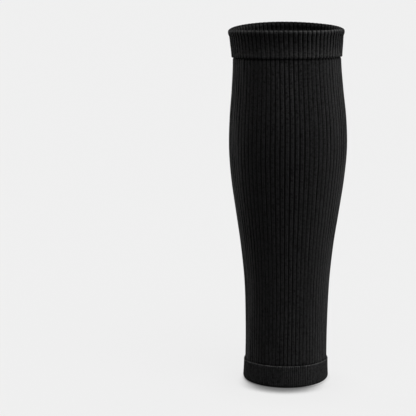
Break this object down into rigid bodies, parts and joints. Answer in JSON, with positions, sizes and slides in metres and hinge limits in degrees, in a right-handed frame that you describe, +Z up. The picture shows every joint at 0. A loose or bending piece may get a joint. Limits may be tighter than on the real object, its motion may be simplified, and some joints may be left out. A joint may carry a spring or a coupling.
{
  "type": "leg sleeve",
  "caption": "Black rib-knit calf sleeve: an open tube shaped to the lower leg, with a doubled flared cuff at the knee and a doubled band at the ankle.",
  "frame": {"origin": "on the floor, below the middle of the sleeve's own box", "axes": "+Z up along the leg from ankle to knee, -Y towards the side that the picture shows"},
  "size_m": [0.1092, 0.1088, 0.33],
  "materials": {
    "rib_knit": "matt black nylon and elastane rib knit",
    "band_knit": "matt black nylon and elastane fine rib knit"
  },
  "bodies": {
    "root": {"calf_tube": "rib_knit", "top_cuff": "rib_knit", "ankle_band": "band_knit"}
  },
  "joints": []
}
